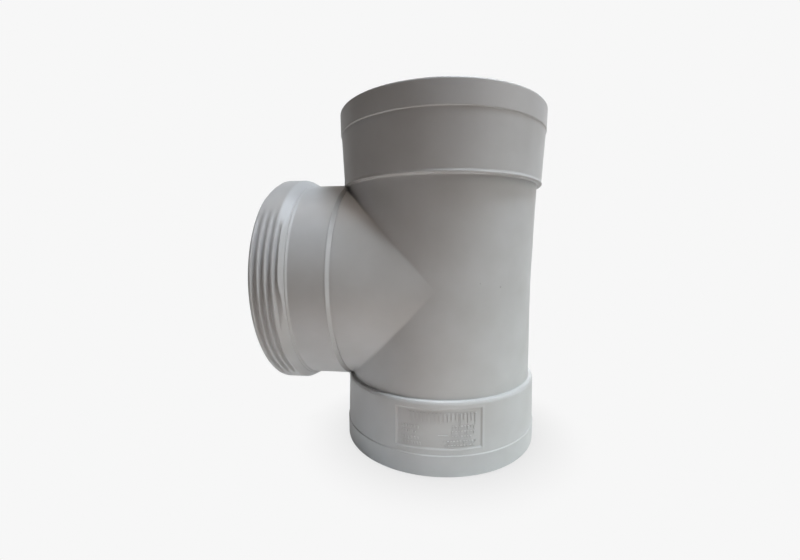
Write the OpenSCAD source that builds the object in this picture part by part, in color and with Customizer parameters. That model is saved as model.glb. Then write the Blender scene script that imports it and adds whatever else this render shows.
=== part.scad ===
// Drainage access tee for a 160 mm pipe run, moulded in one piece.
// The run stands along +Z, with a socket at each end. The branch leaves along -X
// and carries the wide collar, with a coarse thread, that takes a screw cap.

/* [Run sockets] */
// outside diameter of the pipe the sockets take
pipe_d = 160; // [50:0.1:400]
// diametral gap between pipe and socket wall, filled by the solvent cement
socket_fit = 0.4; // [0.1:0.05:2]
// depth from the mouth to the pipe stop
socket_depth = 58; // [20:0.5:120]
// wall beyond the pipe stop, up to the shoulder on the outside
stop_wall = 0.5; // [0:0.1:10]
// wall of a socket at its shoulder
socket_wall = 4.2; // [2:0.1:12]
// how much the wall thickens from the shoulder to the rim band
socket_draft = 1.6; // [0.1:0.1:6]
// length of the thicker band at each mouth
rim_band_len = 17; // [2:0.5:40]
// how far the band stands out of the socket wall
rim_band_step = 0.5; // [0.1:0.1:4]
// further thickening of the band up to the mouth
rim_draft = 0.2; // [0:0.1:2]
// axial length of the lead-in inside each mouth
lead_in_len = 1.5; // [0.5:0.1:10]
// radial opening of the lead-in
lead_in_rise = 0.8; // [0.2:0.1:5]

/* [Run body] */
// overall length of the run, mouth to mouth
run_len = 280; // [80:0.5:700]
// height of the ledge that stops the pipe
pipe_stop = 3.6; // [1:0.1:10]
// wall of the body
body_wall = 4.3; // [2:0.1:12]
// how far the body narrows in radius towards its middle
body_waist = 1.5; // [0.2:0.1:5]

/* [Branch] */
// distance from the run axis to the branch mouth
branch_reach = 136; // [60:0.5:400]
// growth of the saddle's radius from the run axis to the neck
saddle_flare = 5.3; // [0:0.1:20]
// how far inside the body's waist radius the neck starts
neck_overlap = 0.7; // [0:0.1:10]
// step from the saddle up to the plain neck
neck_step = 1.3; // [0.3:0.1:6]
// outside diameter of the thread crests
crest_d = 182.4; // [50:0.1:400]
// height of the crests above the neck
crest_rise = 5.2; // [3:0.1:20]
// length of the crest cylinder, measured back from the mouth
crest_len = 18.4; // [12:0.1:100]
// axial length of the cone between crest cylinder and neck
collar_cone_len = 8.2; // [1:0.1:30]
// wall of the saddle at the run axis
saddle_wall = 4.4; // [2:0.1:12]
// wall of the saddle where the collar chamber starts
saddle_wall_end = 5.7; // [2:0.1:12]
// wall of the collar under the crests
collar_wall = 9.2; // [5:0.1:30]
// distance from the collar chamber's start back to the mouth
chamber_len = 47; // [20:0.1:200]
// axial length of the cone that opens the chamber
chamber_cone_len = 4; // [1:0.1:20]

/* [Thread] */
// advance in one turn, right-hand
thread_pitch = 5.6; // [3:0.1:12]
// depth of a groove
thread_depth = 2.6; // [0.5:0.1:4]
// width of a groove at the crests
groove_top_w = 3.4; // [1:0.1:6]
// width of a groove at its floor
groove_floor_w = 1.6; // [0.3:0.1:3]
// distance from the mouth to the middle of the first groove, at the front
groove_first = 4.9; // [2:0.1:20]
// number of grooves at the front
groove_count = 4; // [1:1:4]
// angle above the front at which the grooves have faded out
groove_top_angle = 47; // [20:1:80]
// angle below the front at which the grooves have faded out
groove_low_angle = 60; // [20:1:80]
// angle over which a groove fades out
groove_fade = 14; // [5:1:20]

/* [Edges] */
// radius of the convex outer edges at the shoulders
shoulder_round = 1.8; // [0.5:0.1:3]
// radius of the concave corner between shoulder and body
shoulder_fillet = 1.5; // [0.5:0.1:3]
// radius of the outer edge at every mouth
rim_round = 1.5; // [0.3:0.1:3]

/* [Label panel] */
// distance from the bottom mouth to the middle of the panel
panel_z = 38.2; // [20:0.1:100]
// height of the panel
panel_h = 31.2; // [5:0.1:80]
// angle the panel spans round the socket, in degrees
panel_angle = 44.4; // [10:0.1:120]
// angle from the front to the middle of the panel, in degrees
panel_turn = 2.4; // [-90:0.1:90]
// how deep the panel is sunk into the wall
panel_depth = 0.5; // [0.1:0.05:2]

/* [Hidden] */
// fineness of the curved surfaces when a mesh is made of them
$fn = 96;
// where the round surfaces start, in degrees, clear of the front and the sides
start_turn = 20;
// overlap of a cut past the surface it opens
over = 1;
mid_z = run_len / 2;
socket_bore_r = (pipe_d + socket_fit) / 2;
socket_len = socket_depth + stop_wall;
socket_r_in = socket_bore_r + socket_wall;
socket_r_out = socket_r_in + socket_draft;
rim_r = socket_r_out + rim_band_step + rim_draft;
waterway_r_end = socket_bore_r - pipe_stop;
waterway_r_mid = waterway_r_end - body_waist;
body_r_end = waterway_r_end + body_wall;
body_r_mid = waterway_r_mid + body_wall;
crest_r = crest_d / 2;
neck_r = crest_r - crest_rise;
neck_start = body_r_mid - neck_overlap;
saddle_r_neck = neck_r - neck_step;
saddle_r_root = saddle_r_neck - saddle_flare;
bore_r_root = saddle_r_root - saddle_wall;
bore_r_end = saddle_r_neck - saddle_wall_end;
chamber_r = crest_r - collar_wall;
chamber_start = branch_reach - chamber_len;
wall_top = socket_len - shoulder_round;
wall_low = rim_band_len + rim_band_step;

// points of a quarter round, centre c, radius r, from angle a to angle b
function arc(c, r, a, b, n = 4) = [
  for (i = [0 : n]) [c[0] + r * cos(a + (b - a) * i / n), c[1] + r * sin(a + (b - a) * i / n)]
];

// outline of one socket as radius and distance from its mouth, mouth first
function socket_side() = concat(
  [[0, 0]],
  arc([rim_r - rim_round, rim_round], rim_round, -90, 0),
  [[socket_r_out + rim_band_step, rim_band_len]],
  [[socket_r_out, wall_low]],
  arc([socket_r_in - shoulder_round, wall_top], shoulder_round, 0, 90),
  arc([body_r_end + shoulder_fillet, socket_len + shoulder_fillet], shoulder_fillet, -90, -180),
  [[0, socket_len + shoulder_fillet]]
);

// solid of one socket, mouth at the origin, opening downwards
module socket_solid() {
  rotate([0, 0, start_turn])
    rotate_extrude()
      polygon(socket_side());
}

// the two cones of the body between the sockets
module body_solid() {
  half = mid_z - socket_len;
  rotate([0, 0, start_turn]) {
    translate([0, 0, mid_z])
      cylinder(h = half, r1 = body_r_mid, r2 = body_r_end);
    translate([0, 0, socket_len])
      cylinder(h = half, r1 = body_r_end, r2 = body_r_mid);
  }
}

// what a pipe end fills: lead-in and socket bore, mouth at the origin
module socket_bore() {
  slope = lead_in_rise / lead_in_len;
  rotate([0, 0, start_turn]) {
    cylinder(h = socket_depth, r = socket_bore_r);
    translate([0, 0, -over])
      cylinder(
        h = lead_in_len + over,
        r1 = socket_bore_r + lead_in_rise + over * slope,
        r2 = socket_bore_r
      );
  }
}

// the waterway between the two pipe stops
module waterway() {
  half = mid_z - socket_depth + over;
  rotate([0, 0, start_turn]) {
    translate([0, 0, mid_z])
      cylinder(h = half, r1 = waterway_r_mid, r2 = waterway_r_end);
    translate([0, 0, mid_z - half])
      cylinder(h = half, r1 = waterway_r_end, r2 = waterway_r_mid);
  }
}

// turns a shape made along +Z into the branch direction, its +X upwards
module along_branch() {
  translate([0, 0, mid_z])
    rotate([0, -90, 0])
      children();
}

// outside of the branch: saddle cone, neck, collar cone and crest cylinder
module branch_solid() {
  along_branch()
    rotate([0, 0, start_turn]) {
      cylinder(h = neck_start, r1 = saddle_r_root, r2 = saddle_r_neck);
      rotate_extrude()
        polygon(concat(
          [[0, neck_start], [neck_r - neck_step / 2, neck_start]],
          [[neck_r, neck_start + neck_step / 2]],
          [[neck_r, branch_reach - crest_len - collar_cone_len]],
          [[crest_r, branch_reach - crest_len]],
          arc([crest_r - rim_round, branch_reach - rim_round], rim_round, 0, 90),
          [[0, branch_reach]]
        ));
    }
}

// inside of the branch: saddle bore and the wider chamber behind the cap
module branch_bore() {
  lap = 0.01;
  along_branch()
    rotate([0, 0, start_turn]) {
      cylinder(h = chamber_start, r1 = bore_r_root, r2 = bore_r_end);
      translate([0, 0, chamber_start - lap])
        cylinder(h = chamber_cone_len + lap, r1 = bore_r_end, r2 = chamber_r);
      translate([0, 0, chamber_start + chamber_cone_len - lap])
        cylinder(h = chamber_len - chamber_cone_len + lap + over, r = chamber_r);
    }
}

// eases from 0 to 1 as t goes from 0 to 1
function ease(t) =
  let (c = min(max(t, 0), 1))
    c * c * (3 - 2 * c);

// how deep a groove is at angle a, as a share of its full depth
function groove_share(a, low, high) =
  min(ease((a - low) / groove_fade), ease((high - a) / groove_fade));

// section of a groove at angle a, whose middle is z from the run axis; the side
// towards the run axis is widened by spread. Six points, inner side first.
function groove_section(a, z, share, spread) =
  let (
    rise = 0.3,
    floor_r = crest_r + rise - (thread_depth + rise) * share,
    floor_half = groove_floor_w / 2,
    top_half = groove_top_w / 2,
    slope = (top_half - floor_half) / thread_depth,
    side = [
      [floor_r, floor_half * 0.6],
      [floor_r + 0.25, floor_half],
      [crest_r + over, top_half + over * slope]
    ]
  )
    [
      for (p = [side[2], side[1], side[0]]) [p[0] * cos(a), p[0] * sin(a), z - p[1] - spread],
      for (p = side) [p[0] * cos(a), p[0] * sin(a), z + p[1]]
    ];

// one groove from angle low to angle high; z is its middle at angle mid. From
// angle sweep_from downwards its inner side runs out towards the neck.
module groove(z, mid, low, high, sweep_from = -1000, sweep_len = 3) {
  step = 4.4;
  n = ceil((high - low) / step);
  sweep_span = 12;
  points = [
    for (i = [0 : n])
      let (
        a = low + (high - low) * i / n,
        spread = sweep_from < low ? 0 : sweep_len * ease((sweep_from - a) / sweep_span)
      )
        each groove_section(
          a, z + thread_pitch * (a - mid) / 360, groove_share(a, low, high), spread
        )
  ];
  sides = [
    for (i = [0 : n - 1], k = [0 : 5])
      let (p = i * 6 + k, q = i * 6 + (k + 1) % 6)
        each [[p, p + 6, q], [q, p + 6, q + 6]]
  ];
  polyhedron(
    points = points,
    faces = concat([[5, 4, 3, 2, 1, 0]], [[for (k = [0 : 5]) n * 6 + k]], sides)
  );
}

// the grooves of the thread, at the front and at the back of the collar. They
// fade out at the top and the bottom, where the mould halves part.
module thread_grooves() {
  front = -90;
  back = 90;
  last = groove_count - 1;
  run_out = 20;
  along_branch() {
    for (k = [0 : last - 1])
      groove(
        branch_reach - groove_first - k * thread_pitch,
        front,
        front - groove_low_angle,
        front + groove_top_angle
      );
    groove(
      branch_reach - groove_first - last * thread_pitch,
      front,
      front - run_out,
      front + groove_top_angle,
      front + 4
    );
    for (k = [0 : last - 1])
      groove(
        branch_reach - groove_first - (k + 0.5) * thread_pitch,
        back,
        back - groove_top_angle,
        back + groove_low_angle
      );
  }
}

// outside radius of a socket's drafted wall at distance z from its mouth
function wall_r(z) = socket_r_in + socket_draft * (wall_top - z) / (wall_top - wall_low);

// the sunk label panel on the front of the lower socket, its floor along the wall
module panel_recess() {
  reach = 6;
  low = panel_z - panel_h / 2;
  top = panel_z + panel_h / 2;
  rotate([0, 0, -90 + panel_turn - panel_angle / 2])
    rotate_extrude(angle = panel_angle)
      polygon([
        [wall_r(low) - panel_depth, low],
        [wall_r(low) + reach, low],
        [wall_r(top) + reach, top],
        [wall_r(top) - panel_depth, top]
      ]);
}

module tee_body() {
  color([0.72, 0.72, 0.72])
    difference() {
      union() {
        socket_solid();
        translate([0, 0, run_len])
          mirror([0, 0, 1])
            socket_solid();
        body_solid();
        branch_solid();
      }
      socket_bore();
      translate([0, 0, run_len])
        mirror([0, 0, 1])
          socket_bore();
      waterway();
      branch_bore();
      panel_recess();
      thread_grooves();
    }
}

tee_body();
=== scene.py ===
import math

import bmesh
import bpy
import numpy as np
from mathutils import Matrix, Vector


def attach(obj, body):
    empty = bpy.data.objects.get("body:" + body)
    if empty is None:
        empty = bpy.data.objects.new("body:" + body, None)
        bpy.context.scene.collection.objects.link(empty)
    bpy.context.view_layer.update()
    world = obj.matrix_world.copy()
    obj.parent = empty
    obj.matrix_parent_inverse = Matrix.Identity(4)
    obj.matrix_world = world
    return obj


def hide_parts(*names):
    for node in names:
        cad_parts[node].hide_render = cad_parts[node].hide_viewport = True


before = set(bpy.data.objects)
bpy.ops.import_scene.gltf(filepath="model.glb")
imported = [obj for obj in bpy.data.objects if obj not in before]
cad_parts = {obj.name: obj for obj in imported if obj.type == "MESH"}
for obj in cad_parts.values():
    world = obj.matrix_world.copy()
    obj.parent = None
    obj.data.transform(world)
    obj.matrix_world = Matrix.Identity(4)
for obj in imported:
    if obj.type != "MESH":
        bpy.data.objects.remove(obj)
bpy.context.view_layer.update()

# The camera stands close in front of the fitting, a little above its middle, with a
# wide lens, as the photograph's perspective shows: the mouths of the sockets curve
# strongly, and the top one is seen from below.
camera_place = Vector((0.0153, -0.3410, 0.1734))
camera_turn = 7.10           # degrees to the left of straight ahead
camera_dip = -8.63
camera_roll = -0.13
focal_px = 368.47
picture_w = 800
picture_h = 560
axis_px = (411.20, 300.56)   # where the lens axis meets the picture
sensor_mm = 36.0

camera_data = bpy.data.cameras.new("camera")
camera_data.sensor_width = sensor_mm
camera_data.lens = sensor_mm * focal_px / picture_w
camera_data.shift_x = (picture_w / 2 - axis_px[0]) / picture_w
camera_data.shift_y = (axis_px[1] - picture_h / 2) / picture_w
camera_data.clip_end = 50.0
camera = bpy.data.objects.new("camera", camera_data)
camera.matrix_world = (
    Matrix.Translation(camera_place)
    @ Matrix.Rotation(math.radians(camera_turn), 4, "Z")
    @ Matrix.Rotation(math.radians(90 + camera_dip), 4, "X")
    @ Matrix.Rotation(math.radians(camera_roll), 4, "Z")
)
bpy.context.scene.collection.objects.link(camera)
bpy.context.scene.camera = camera


# The tee: one moulding in rigid PVC, with a solvent socket at each end of the run and a
# flared saddle on the left that carries the threaded collar. Sliding cores form the
# bores and two mould halves the outside, which leaves a fine parting line at the sides.
run_mid = 140.0              # height of the branch axis; all sizes here are in mm
waist_out = 79.4             # radius of the body at the branch axis
waist_in = 75.1              # and of the waterway there
waist_soft = 12.0            # how far the waist's bend reaches
body_end = 80.9              # radius of the body at the sockets' shoulders
shoulder_at = 81.5           # how far those are from the branch axis
water_end = 76.6             # radius of the waterway at the pipe stops
stop_at = 82.0               # how far those are from the branch axis
socket_bore = 80.2           # radius
lead_in = 0.8                # how far the bore opens at a mouth
lead_in_len = 1.5
socket_r = 86.0              # outside radius of a socket, up to its rim band
band_at = 122.4              # how far the band's edge is from the branch axis
band_step = 0.6
rim_r = 86.7
branch_reach = 136.0
saddle_end = 84.7            # radius of the saddle where it ends
saddle_at = 78.7             # how far that is from the run axis
bore_end = 79.0              # radius of the bore where the collar's chamber opens
bore_at = 89.0
branch_soft = 14.0           # how far the bend of saddle and bore reaches
neck_r = 86.0
neck_end = 108.3             # where the collar's cone starts
crest_r = 91.2
crest_at = 117.2             # where the crests start
chamber_r = 82.0
chamber_at = 93.0
thread_pitch = 5.6
thread_depth = 2.6
groove_first = 4.3           # from the mouth to the first groove's middle, in front
groove_floor_half = 0.5      # half widths of a groove
groove_top_half = 2.3
groove_top = 43.0            # degrees above the front at which the grooves have faded
groove_low = 60.0            # and below it
groove_fade = 14.0           # degrees over which they fade at the bottom
groove_fade_top = 26.0       # and at the top
last_end = 27.0              # degrees below the front at which the last groove has faded
last_fade = 18.0
last_spread = 3.0            # how far it opens towards the neck
panel_left = 19.8            # degrees from the front towards the branch
panel_right = 24.6           # degrees from the front away from the branch
panel_low = 22.7
panel_high = 52.9
mm_per_degree = 1.48         # along the panel's floor
panel_edge = np.array([      # distance inwards from the panel's outline, and height there
    [-1.9, 0], [-1.3, 0.14], [-0.8, 0.2], [-0.35, 0.0], [0.35, -0.55], [0.8, -0.65], [1.4, -0.65],
])
collar_lean = 2.2            # the collar's cone starts this much nearer the mouth at top and bottom
parting_height = 0.10
parting_half = 0.35          # half width of the parting ridge
column_step = 2.25           # degrees between two columns of the mesh
column_gap = 0.4             # the least that an even column keeps from an extra one


def ease(t):
    """Goes from 0 to 1 as t does, level at both ends."""
    t = np.clip(t, 0, 1)
    return t * t * (3 - 2 * t)


def bent(at, low, high, soft, end):
    """A draft that is level at 0 and then straight: low at 0, high at end."""
    return low + (high - low) * (np.hypot(at, soft) - soft) / (np.hypot(end, soft) - soft)


def rounded(corners):
    """An outline through corners (a, b, round). Each inner corner becomes a parabola
    that starts and ends round away from it, with one more point beside each end. A
    parabola takes less than half of each side, so two never meet."""
    out = [np.array(corners[0][:2])]
    for before, here, after in zip(corners[:-2], corners[1:-1], corners[2:]):
        c = np.array(here[:2])
        back, ahead = np.array(before[:2]) - c, np.array(after[:2]) - c
        lengths = np.linalg.norm(back), np.linalg.norm(ahead)
        leg = min(here[2], 0.47 * lengths[0], 0.47 * lengths[1])
        back, ahead = back / lengths[0], ahead / lengths[1]
        t = np.linspace(0, 1, 4 if leg < 0.6 else 7)[:, None]
        curve = (1 - t) ** 2 * (c + leg * back) + 2 * t * (1 - t) * c + t**2 * (c + leg * ahead)
        side = min(0.15, 0.05 * min(lengths))
        out += [c + (leg + side) * back, *curve, c + (leg + side) * ahead]
    return np.array(out + [np.array(corners[-1][:2])])


def along(outline):
    """Distance along an outline to each of its points."""
    return np.concatenate([[0], np.cumsum(np.linalg.norm(np.diff(outline, axis=0), axis=1))])


def at_distance(outline, s):
    """The outline's two coordinates at distance s along it."""
    d = along(outline)
    return np.interp(s, d, outline[:, 0]), np.interp(s, d, outline[:, 1])


body_h = np.linspace(0, 76, 9)
body_line = np.column_stack([bent(body_h, waist_out, body_end, waist_soft, shoulder_at), body_h])
water_line = np.column_stack([bent(body_h, waist_in, water_end, waist_soft, stop_at), body_h])[::-1]


def half_run(edge):
    """Half the run, from the waist along the outside, over the mouth and through the bore
    to the waist again, as radius and distance from the branch axis. edge holds the corners
    where the socket's shoulder turns into its wall."""
    socket_line = rounded([
        body_line[-1], (body_end, shoulder_at, 1.0), *edge, (socket_r, band_at, 0.2),
        (socket_r + band_step, band_at + band_step, 0.35), (rim_r, run_mid, 1.5),
        (socket_bore + lead_in, run_mid, 0.35), (socket_bore, run_mid - lead_in_len, 0.8),
        (socket_bore, stop_at, 0.35), (water_end, stop_at, 0.6), water_line[0],
    ])
    return np.vstack([body_line, socket_line[1:-1], water_line])


# 1 is the upper half, whose shoulder ends in a small bead, and -1 the lower one
run_line = {
    1: half_run([(84.3, 81.45, 0.2), (84.9, 82.0, 0.25), (84.45, 83.6, 0.4)]),
    -1: half_run([(83.7, 81.5, 0.6), (84.6, 83.4, 0.6)]),
}

# the branch, from the run axis along the outside, over the mouth and back inside, as
# distance from the run axis and radius
saddle_u = np.linspace(0, 75, 12)
bore_u = np.linspace(0, 84, 10)
saddle_line = np.column_stack(
    [saddle_u, bent(saddle_u, waist_out, saddle_end, branch_soft, saddle_at)]
)
bore_line = np.column_stack([bore_u, bent(bore_u, waist_in, bore_end, branch_soft, bore_at)])[::-1]
collar_line = rounded([
    # a step with a small bead leads up to the neck
    saddle_line[-1], (77.0, 84.3, 0.6), (79.3, neck_r + 0.4, 0.5), (80.4, 86.05, 0.3),
    # the cone starts with a low step
    (neck_end, neck_r, 0.6), (109.3, 87.0, 0.5), (110.2, 87.0, 0.2), (110.7, 87.7, 0.4),
    (crest_at, crest_r, 1.2), (branch_reach, crest_r, 1.5), (branch_reach, chamber_r, 0.5),
    (chamber_at, chamber_r, 1.5), (bore_at, bore_end, 1.5), bore_line[0],
])
branch_line = np.vstack([saddle_line, collar_line[1:-1], bore_line])
branch_end = along(branch_line)[-1]
outer_line = branch_line[: np.argmax(branch_line[:, 0]) + 1]
inner_line = bore_line[::-1]
mouth_at = along(branch_line)[len(outer_line) - 1]


def radius_at(line, u):
    """Radius of a branch outline at distance u from the run axis."""
    return np.interp(u, line[:, 0], line[:, 1])


def seam(theta, line, branch, high):
    """Where a run column at angle theta leaves the branch: the distance along line at
    which its point is as far from the branch axis as the branch's radius there. The
    span from 0 to high is halved until it is found."""
    low, high = np.zeros(theta.shape), np.full(theta.shape, high)
    for _ in range(50):
        s = (low + high) / 2
        r, h = at_distance(line, s)
        out = np.hypot(r * np.cos(theta), h) > radius_at(branch, r * np.sin(theta))
        low, high = np.where(out, low, s), np.where(out, s, high)
    return low


def columns(extra):
    """Angles from 0 to 180 degrees at column_step, with extra ones put in. An even one
    that comes close to an extra one is left out."""
    even = np.linspace(0, 180, round(180 / column_step) + 1)
    free = np.abs(even[:, None] - np.array(extra)[None, :]).min(axis=1) > column_gap
    free[[0, -1]] = True
    return np.radians(np.sort(np.concatenate([even[free], extra])))


# the columns of the run on the branch's side and on the other, in radians from the front
parting_turn = math.degrees(parting_half / socket_r)
parting_turns = [90 - parting_turn, 90, 90 + parting_turn]
edge_turns = panel_edge[:, 0] / mm_per_degree
left = columns([*(panel_left - edge_turns), *parting_turns])
right = np.pi + columns([*parting_turns, *(180 - panel_right + edge_turns)])

# distances of the first rows from a seam, close together where the seam is rounded
ladder = np.array([0, 0.3, 0.6, 0.9, 1.2, 1.55, 1.9, 2.4, 3.2, 4.5])


def row_distances(line, more, longest=9.0):
    """Distances along an outline: the ladder at both ends, and between them its points,
    those in more, and enough others that no gap is over longest."""
    d = along(line)
    d = np.unique(np.round(np.concatenate([d, more]), 4))
    d = d[(d > ladder[-1] + 0.5) & (d < d[-1] - ladder[-1] - 0.5)]
    ends = along(line)[-1]
    d = np.concatenate([ladder, d, ends - ladder[::-1]])
    parts = [
        np.linspace(a, b, math.ceil((b - a) / longest), endpoint=False)
        for a, b in zip(d[:-1], d[1:])
    ]
    return np.concatenate(parts + [[d[-1]]])


def laid_rows(rows, first, last):
    """Distances for each column: the rows, kept at least the ladder's steps after first
    and before last, and then 0.02 mm more for each further row, so none coincide."""
    off = np.concatenate([ladder, ladder[-1] + 0.02 * np.arange(1, len(rows) - len(ladder) + 1)])
    s = np.maximum(rows[None, :], first[:, None] + off[None, :])
    return np.minimum(s, last[:, None] - off[::-1][None, :])


def parting(across):
    """Height of the parting ridge at a distance across from the mould's parting plane."""
    return parting_height * np.clip(1 - np.abs(across) / parting_half, 0, 1)


def panel_height(theta, z):
    """Height of the label panel's surface over the socket's wall, at angle theta and
    height z above the lower mouth: a low lip, a sloped wall and a floor sunk by 0.65."""
    turn = np.degrees(np.where(theta > np.pi, theta - 2 * np.pi, theta))
    across = np.minimum(panel_left - turn, turn + panel_right) * mm_per_degree
    inwards = np.minimum(across, np.minimum(panel_high - z, z - panel_low))
    return np.interp(inwards, panel_edge[:, 0], panel_edge[:, 1])


def run_point(theta, s, way):
    """Place of a point of the run: angle theta from the front towards the branch,
    distance s along the outline, way 1 above the branch axis and -1 below it."""
    r, h = at_distance(run_line[way], s)
    z = run_mid + way * h
    outside = s < along(run_line[way])[np.argmax(run_line[way][:, 1])]
    r = r + outside * parting(r * np.cos(theta)) * (np.abs(np.sin(theta)) > 0.5)
    r = r + outside * panel_height(theta, z) * (way < 0)
    return np.stack([-r * np.sin(theta), -r * np.cos(theta), z], axis=-1)


def skew(phi):
    """How far the helix moves a row outwards at angle phi above the front: the thread's
    own advance at the front and at the back, and an even return at top and bottom."""
    turn = (np.degrees(phi) + 120) % 360 - 120
    back = 180 + groove_low
    knots = [-groove_low * 2, -groove_low, groove_top, 180 - groove_top, back]
    advance = [groove_low, -groove_low, groove_top, -groove_top, groove_low]
    return thread_pitch / 360 * np.interp(turn, knots, advance)


def groove_floor(phi, u):
    """Radius that the grooves leave at angle phi and distance u from the run axis: a
    channel with sloped walls round the helix, its depth fading out at top and bottom.
    The last one in front opens towards the neck and runs out below the middle."""
    turn = (np.degrees(phi) + 90) % 360 - 90
    front = np.abs(turn) < 90
    turn = np.where(front, turn, turn - 180)
    low = np.where(front, -groove_low, -groove_top)
    high = np.where(front, groove_top, groove_low)
    fade_low = np.where(front, groove_fade, groove_fade_top)
    fade_high = np.where(front, groove_fade_top, groove_fade)
    share = np.minimum(ease((turn - low) / fade_low), ease((high - turn) / fade_high))
    half_turn = np.where(front, 0.0, 0.5)
    inwards = branch_reach - groove_first + thread_pitch * turn / 360 - u
    k = np.clip(np.round(inwards / thread_pitch - half_turn), 0, np.where(front, 3, 2))
    off = inwards - (k + half_turn) * thread_pitch
    last = front & (k == 3)
    share = np.where(last, np.minimum(share, ease((turn + last_end) / last_fade)), share)
    spread = np.where(last, last_spread * ease((4 - turn) / 12), 0.0)
    off = np.where(off > 0, np.maximum(off - spread, 0), -off)
    wall = (groove_top_half - off) / (groove_top_half - groove_floor_half)
    return crest_r - thread_depth * share * ease(wall)


def branch_point(phi, s):
    """Place of a point of the branch: angle phi above the front, distance s along the
    outline. u is its distance from the run axis and r its radius."""
    u, r = at_distance(branch_line, s)
    outside = s < mouth_at
    # the rows in the thread follow its helix, and the cone leans to the mouth at top and bottom
    held = ease((u - 111) / 3) * ease((134.5 - u) / 1.6) * outside
    lean = collar_lean * np.sin(phi) ** 2 * ease((u - 105) / 3) * ease((128 - u) / 9) * outside
    u = u + held * skew(phi)
    r = np.where(held > 0, radius_at(outer_line, u), r)
    u = u + lean
    high = np.degrees(phi)
    # a wedge fills the cone beside the fourth groove
    wedge = np.interp(u, [110.9, 113.2, crest_at], [87.9, 91.0, crest_r])
    share = ease((high + 14) / 8) * ease((40 - high) / 14) * ((u > 110.9) & (u < 118) & outside)
    r = r + share * np.maximum(wedge - r, 0)
    # a fine groove runs along the foot of the neck's step, and fades out in front
    line = np.interp(u, [75.9, 76.7, 77.5], [0, 0.7, 0]) * outside
    r = r - line * ease((np.abs(high) - 14) / 26)
    r = np.where(outside & (u > 106), np.minimum(r, groove_floor(phi, u)), r)
    # near the top the edge of the mouth is cut back
    cut = ease((high - 46) / 14) * ease((92 - high) / 10) * ease((u - 133.0) / 2.8)
    r = r - 1.5 * cut * outside
    r = r + outside * parting(r * np.cos(phi)) * (np.abs(np.sin(phi)) > 0.5)
    return np.stack([-u, -r * np.cos(phi), run_mid + r * np.sin(phi)], axis=-1)


def round_seam(near, corner, other, fade):
    """Rounds a seam. near holds a grid's rows from the seam to where the rounding ends,
    at the ladder's distances. They move to the parabola that leaves this surface there,
    turns at corner and reaches the other surface at its own point other, times fade."""
    steps = ladder[: near.shape[1]]
    t = 0.5 * (1 - steps / steps[-1])[None, :, None]
    curve = (1 - t) ** 2 * near[:, -1:] + 2 * t * (1 - t) * corner[:, None]
    curve = curve + t**2 * other[:, None]
    near += fade[:, None, None] * (curve - near)


def grid_faces(n_columns, n_rows, start):
    """Four-sided faces of a grid whose vertices run row by row within each column."""
    i, j = np.meshgrid(np.arange(n_columns - 1), np.arange(n_rows - 1), indexing="ij")
    a = start + i * n_rows + j
    return np.stack([a, a + n_rows, a + n_rows + 1, a + 1], axis=-1).reshape(-1, 4)


def solid_mesh(name, grids):
    """One closed mesh of several grids in mm, joined where their edges meet within
    0.003 mm, with its faces turned outwards."""
    points, faces, start = [], [], 0
    for grid in grids:
        points.append(grid.reshape(-1, 3))
        faces.append(grid_faces(grid.shape[0], grid.shape[1], start))
        start += len(points[-1])
    mesh = bpy.data.meshes.new(name)
    mesh.from_pydata((np.vstack(points) * 0.001).tolist(), [], np.vstack(faces).tolist())
    work = bmesh.new()
    work.from_mesh(mesh)
    bmesh.ops.remove_doubles(work, verts=work.verts, dist=0.000003)
    bmesh.ops.recalc_face_normals(work, faces=work.faces)
    work.to_mesh(mesh)
    work.free()
    mesh.polygons.foreach_set("use_smooth", np.ones(len(mesh.polygons), bool))
    piece = bpy.data.objects.new(name, mesh)
    bpy.context.scene.collection.objects.link(piece)
    return piece


outer_steps = 7              # rows that the rounding of the outer seam takes
inner_steps = 4              # and that of the inner one
# the lower half's outside, with rows along the panel's upper and lower edge
wall_r, wall_h = run_line[-1][: int(np.argmax(run_line[-1][:, 1]))].T
edge_heights = run_mid - np.concatenate([panel_high - panel_edge[:, 0], panel_low + panel_edge[:, 0]])
panel_rows = np.interp(edge_heights, wall_h, along(run_line[-1])[: len(wall_h)])
run_rows = {1: row_distances(run_line[1], []), -1: row_distances(run_line[-1], panel_rows)}
# the rows lie close together on the neck's step and on the thread
neck_span = np.interp([75.3, 77.8], outer_line[:, 0], along(outer_line))
thread_span = np.interp([106.4, 134.3], outer_line[:, 0], along(outer_line))
fine_rows = np.concatenate([np.arange(*neck_span, 0.35), np.arange(*thread_span, 0.3)])
branch_rows = row_distances(branch_line, fine_rows)

out_at = seam(left, run_line[1], outer_line, high=100.0)
in_from_end = seam(left, run_line[1][::-1], inner_line, high=78.0)
# the seams are left sharp in front and behind, where the two surfaces run into each other
seam_fade = ease(np.minimum(left, np.pi - left) / math.radians(14))
corner_out = run_point(left, out_at, 1)
corner_in = run_point(left, along(run_line[1])[-1] - in_from_end, 1)


def branch_angle(points):
    """Angle of points round the branch axis, above the front."""
    return np.arctan2(points[..., 2] - run_mid, -points[..., 1])


phi_out, phi_in = branch_angle(corner_out), branch_angle(corner_in)
first = np.interp(-corner_out[:, 0], outer_line[:, 0], along(outer_line))
last = branch_end - np.interp(-corner_in[:, 0], inner_line[:, 0], along(inner_line))
branch_s = laid_rows(branch_rows, first, last)
# behind the mouth the columns turn from the outer seam's angles to the inner seam's
home = ease((branch_s - mouth_at) / 40)
branch_phi = phi_out[:, None] + home * (phi_in - phi_out)[:, None]

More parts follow.
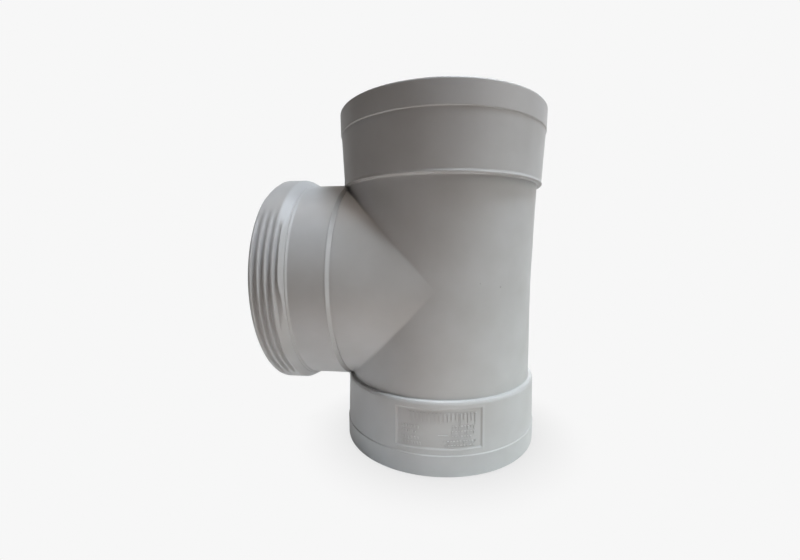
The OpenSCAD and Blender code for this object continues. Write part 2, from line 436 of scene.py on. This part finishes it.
grids = []
for way in (1, -1):
    in_at = along(run_line[way])[-1] - in_from_end
    run_left = run_point(left[:, None], laid_rows(run_rows[way], out_at, in_at), way)
    run_right = run_point(right[:, None], run_rows[way] + 0 * right[:, None], way)
    branch = branch_point(way * branch_phi, branch_s)
    for run_side, branch_side, steps in (
        (run_left, branch, outer_steps),
        (run_left[:, ::-1], branch[:, ::-1], inner_steps),
    ):
        corner = run_side[:, 0].copy()
        branch_side[:, 0] = corner
        round_seam(run_side[:, :steps], corner, branch_side[:, steps - 1], seam_fade)
        round_seam(branch_side[:, :steps], corner, run_side[:, steps - 1], seam_fade)
    grids += [run_left, run_right, branch]
tee = solid_mesh("tee", grids)


def linear(hex_colour):
    """An sRGB colour written as six hex digits, as linear red, green, blue and alpha."""
    srgb = np.array([int(hex_colour[i : i + 2], 16) for i in (1, 3, 5)]) / 255
    rgb = np.where(srgb <= 0.04045, srgb / 12.92, ((srgb + 0.055) / 1.055) ** 2.4)
    return (*rgb.tolist(), 1.0)


def add(tree, kind, links=(), **settings):
    """Adds a node with its settings, and links (from node, output, own input)."""
    node = tree.nodes.new(kind)
    for key, value in settings.items():
        if key.startswith("in_"):
            node.inputs[int(key[3:])].default_value = value
        else:
            setattr(node, key, value)
    for source, output, own in links:
        tree.links.new(source.outputs[output], node.inputs[own])
    return node


specks = (                   # three dark grains: place and radius in mm
    (32.4, -73.4, 145.4, 0.7), (47.9, -64.3, 142.2, 0.8), (6.0, -84.2, 25.6, 0.5),
)


def pvc_moulded():
    """Rigid PVC, injection moulded in a polished tool: a dense, slightly milky grey. The
    skin is satin, with a faint unevenness where the melt flowed and cooled."""
    material = bpy.data.materials.new("rigid PVC, moulded")
    material.use_nodes = True
    tree = material.node_tree
    tree.nodes.clear()
    place = add(tree, "ShaderNodeTexCoord")
    # tone of the melt, in clouds some 35 mm across
    clouds = add(tree, "ShaderNodeTexNoise", [(place, "Object", 0)], in_2=28.0, in_3=3.0)
    tone = add(tree, "ShaderNodeMapRange", [(clouds, 0, 0)], in_1=0.3, in_2=0.7)
    colour = add(
        tree, "ShaderNodeMix", [(tone, 0, 0)], data_type="RGBA",
        in_6=linear("#a9a9a8"), in_7=linear("#b1b2b2"),
    )
    # grains that burnt in the melt show as specks, dark within half their radius and soft outside
    for x, y, z, size in specks:
        away = add(tree, "ShaderNodeVectorMath", [(place, "Object", 0)], operation="DISTANCE")
        away.inputs[1].default_value = (x * 0.001, y * 0.001, z * 0.001)
        dark = add(
            tree, "ShaderNodeMapRange", [(away, "Value", 0)],
            in_1=size * 0.0005, in_2=size * 0.0015, in_3=0.75, in_4=0.0,
        )
        colour = add(
            tree, "ShaderNodeMix", [(dark, 0, 0), (colour, 2, 6)], data_type="RGBA",
            in_7=linear("#4b4844"),
        )
    # the skin's gloss varies in patches of about 12 mm
    patches = add(tree, "ShaderNodeTexNoise", [(place, "Object", 0)], in_2=80.0, in_3=2.0)
    gloss = add(
        tree, "ShaderNodeMapRange", [(patches, 0, 0)], in_1=0.3, in_2=0.7, in_3=0.48, in_4=0.56
    )
    # tool texture: grains of 0.5 mm, the finest that still show
    grain = add(tree, "ShaderNodeTexNoise", [(place, "Object", 0)], in_2=2000.0, in_3=2.0)
    fine = add(tree, "ShaderNodeBump", [(grain, 0, 2)], in_0=0.05, in_1=0.0001)
    shader = add(
        tree, "ShaderNodeBsdfPrincipled",
        [(colour, 2, "Base Color"), (gloss, 0, "Roughness"), (fine, 0, "Normal")],
    )
    shader.inputs["IOR"].default_value = 1.53
    add(tree, "ShaderNodeOutputMaterial", [(shader, 0, 0)])
    return material


pvc = pvc_moulded()
tee.data.materials.append(pvc)
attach(tee, "root")
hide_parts("tee_body")


# The label: rows of low raised bars on the floor of the sunk panel, moulded in one with the
# socket in the same PVC. They were cut into the tool, so their tops are a little smaller
# than their feet.
bar_level = np.array([-0.15, 0.5])       # heights in mm of foot and top over the panel's floor
bar_inset = np.array([0.0, 0.1])         # how far the top's edges stand in


def bars(rows):
    """Raised bars on the panel's floor as one mesh. rows holds for each bar its angle from
    the front in degrees, its height above the mouth, its width and its height in mm. A
    bar is a block of eight corners whose top is smaller than its foot."""
    side = np.array([[-1, -1], [1, -1], [1, 1], [-1, 1]])
    half = rows[:, None, None, 2:] / 2 - bar_inset[None, :, None, None]
    off = side[None, None] * half
    turn = np.radians(rows[:, None, None, 0] - off[..., 0] / mm_per_degree)
    z = rows[:, None, None, 1] + off[..., 1]
    r = np.interp(run_mid - z, wall_h, wall_r)
    r = r + panel_edge[-1, 1] + bar_level[None, :, None]
    points = np.stack([-r * np.sin(turn), -r * np.cos(turn), z], axis=-1).reshape(-1, 3)
    block = np.array([
        [3, 2, 1, 0], [4, 5, 6, 7], [0, 1, 5, 4], [1, 2, 6, 5], [2, 3, 7, 6], [3, 0, 4, 7],
    ])
    faces = (block[None] + 8 * np.arange(len(rows))[:, None, None]).reshape(-1, 4)
    mesh = bpy.data.meshes.new("label_bars")
    mesh.from_pydata((points * 0.001).tolist(), [], faces.tolist())
    piece = bpy.data.objects.new("label_bars", mesh)
    bpy.context.scene.collection.objects.link(piece)
    return piece


def bar_rows():
    """Where the bars stand: a row of tall ones, small rows at the left and the right, a
    long upright and a flat bar. Widths, heights and gaps vary from bar to bar."""
    vary = np.random.default_rng(5)
    rows = [[-13.0, 39.5, 0.8, 21.0], [-4.7, 32.8, 7.6, 0.9]]
    # of each row: first and last angle, height above the mouth, tallest bar, and step in degrees
    for start, end, z, tall, step in (
        (13.6, -22.6, 46.0, 8.2, 2.0),
        (17.2, 6.0, 38.3, 2.6, 1.6), (17.2, 8.0, 34.2, 2.6, 1.6),
        (17.2, 6.2, 29.4, 2.6, 1.6), (17.2, 5.4, 25.6, 2.4, 1.6),
        (-8.8, -22.3, 39.0, 2.8, 1.6), (-8.6, -22.3, 35.1, 2.6, 1.6),
        (-8.6, -20.2, 31.3, 2.6, 1.6), (-4.8, -22.6, 27.6, 2.4, 1.6),
        (-5.2, -21.2, 24.7, 1.6, 1.6),
    ):
        count = int(abs(end - start) / step)
        turn = start - step * (np.arange(count) + vary.uniform(0.35, 0.65, count))
        wide = step * mm_per_degree * vary.uniform(0.35, 0.7, count)
        high = tall * vary.uniform(0.6, 1.0, count)
        rows += np.column_stack([turn, z + (tall - high) / 2, wide, high]).tolist()
    return np.array(rows)


label = bars(bar_rows())
label.data.materials.append(pvc)
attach(label, "root")


# The studio: white paper that runs from under the fitting up the wall behind it. A soft
# window and a narrow lamp stand on the right, three narrow lamps hang high above, a broad
# one stands behind on the right, and a pale glowing card lies on the paper in front.
paper_half = 7.0             # half width; the studio's sizes are in metres
paper_front = -4.0
wall_at = 2.4                # where the bend up to the wall starts
wall_rise = 3.6
paper_bend = 1.2
paper_colour = "#f7f7f7"


def backdrop():
    """Paper that bends from the floor into a wall: straight, a quarter circle, straight."""
    turn = np.linspace(0, math.pi / 2, 25)
    y = np.concatenate([[paper_front], wall_at + paper_bend * np.sin(turn)])
    z = np.concatenate([[0.0], paper_bend * (1 - np.cos(turn))])
    y = np.append(y, y[-1])
    z = np.append(z, wall_rise)
    grid = np.zeros((2, len(y), 3))
    grid[:, :, 0] = [[-paper_half], [paper_half]]
    grid[:, :, 1] = y
    grid[:, :, 2] = z
    mesh = bpy.data.meshes.new("floor")
    mesh.from_pydata(grid.reshape(-1, 3).tolist(), [], grid_faces(2, len(y), 0).tolist())
    mesh.polygons.foreach_set("use_smooth", np.ones(len(mesh.polygons), bool))
    piece = bpy.data.objects.new("floor", mesh)
    bpy.context.scene.collection.objects.link(piece)
    return piece


def paper():
    """Matt white paper. Lamps see its true surface. What is seen of it directly or as a reflection
    glows in one even tone, with a painted shadow where the fitting stands close over it."""
    material = bpy.data.materials.new("matt paper")
    material.use_nodes = True
    tree = material.node_tree
    tree.nodes.clear()
    sheet = add(tree, "ShaderNodeBsdfDiffuse", in_0=linear(paper_colour))
    # painted shadow: ambient occlusion within 5 cm of the fitting darkens the glowing tone seen
    # directly and in reflections
    near = add(tree, "ShaderNodeAmbientOcclusion", in_1=0.05)
    painted_shadow = add(tree, "ShaderNodeMapRange", [(near, 1, 0)], in_1=0.4, in_2=1.0, in_3=0.82, in_4=1.0)
    even = add(tree, "ShaderNodeEmission", [(painted_shadow, 0, 1)], in_0=linear(paper_colour))
    rays = add(tree, "ShaderNodeLightPath")
    seen = add(
        tree, "ShaderNodeMath", [(rays, "Is Camera Ray", 0), (rays, "Is Glossy Ray", 1)],
        operation="MAXIMUM",
    )
    seen = add(
        tree, "ShaderNodeMath", [(seen, 0, 0), (rays, "Is Transmission Ray", 1)],
        operation="MAXIMUM",
    )
    mix = add(tree, "ShaderNodeMixShader", [(seen, 0, 0), (sheet, 0, 1), (even, 0, 2)])
    add(tree, "ShaderNodeOutputMaterial", [(mix, 0, 0)])
    return material


floor = backdrop()
floor.data.materials.append(paper())


def lamp(kind, name, place, aim, size, watts, colour, cone=0):
    """A soft lamp at place, turned to face aim. cone is a spot's full angle in degrees."""
    data = bpy.data.lights.new(name, kind)
    data.energy = watts
    data.color = linear(colour)[:3]
    light = bpy.data.objects.new(name, data)
    light.location = place
    light.rotation_euler = (Vector(aim) - Vector(place)).to_track_quat("-Z", "Y").to_euler()
    light.visible_camera = False
    if kind == "SPOT":
        data.shadow_soft_size = size
        data.spot_size = math.radians(cone)
        data.spot_blend = 1.0
    else:
        data.size = size
    bpy.context.scene.collection.objects.link(light)
    return data


# what the lamps aim at
middle = (0.0, 0.0, 0.14)
foot = (0.0, 0.0, 0.0)
below = (0.0, 0.0, -0.05)
collar = (-0.11, -0.01, 0.14)
lamp("AREA", "window", (1.025, -0.274, 1.201), middle, size=1.0, watts=10.5, colour="#fff6f4")
lamp("SPOT", "side", (1.362, -0.365, 0.653), below, size=0.2, watts=62.0, colour="#ebfffa", cone=16)
lamp("SPOT", "high", (0.336, -0.194, 1.589), foot, size=0.2, watts=111.0, colour="#eff8ff", cone=16)
lamp(
    "SPOT", "high on the collar", (0.387, -0.034, 1.589), collar,
    size=0.2, watts=231.0, colour="#e2efff", cone=10,
)
lamp(
    "SPOT", "left on the collar", (-0.513, 0.0, 1.550), collar,
    size=0.2, watts=90.0, colour="#ffefe2", cone=10,
)
lamp("AREA", "back", (0.4, 1.7, 0.8), middle, size=1.2, watts=11.0, colour="#ffffff")
card = lamp(
    "AREA", "card", (0.0, -0.35, 0.002), (0.0, -0.35, 1.0), size=0.44, watts=0.40, colour="#ffebdc"
)
card.shape = "DISK"


def room():
    """The room round the set: dim, and the paper's tone where the camera looks past it."""
    world = bpy.data.worlds.new("room")
    bpy.context.scene.world = world
    world.use_nodes = True
    tree = world.node_tree
    tree.nodes.clear()
    dim = add(tree, "ShaderNodeBackground", in_0=linear("#f2f0ee"), in_1=0.01)
    pale = add(tree, "ShaderNodeBackground", in_0=linear(paper_colour), in_1=1.0)
    rays = add(tree, "ShaderNodeLightPath")
    mix = add(tree, "ShaderNodeMixShader", [(rays, "Is Camera Ray", 0), (dim, 0, 1), (pale, 0, 2)])
    add(tree, "ShaderNodeOutputWorld", [(mix, 0, 0)])


room()
bpy.context.scene.view_settings.view_transform = "Standard"
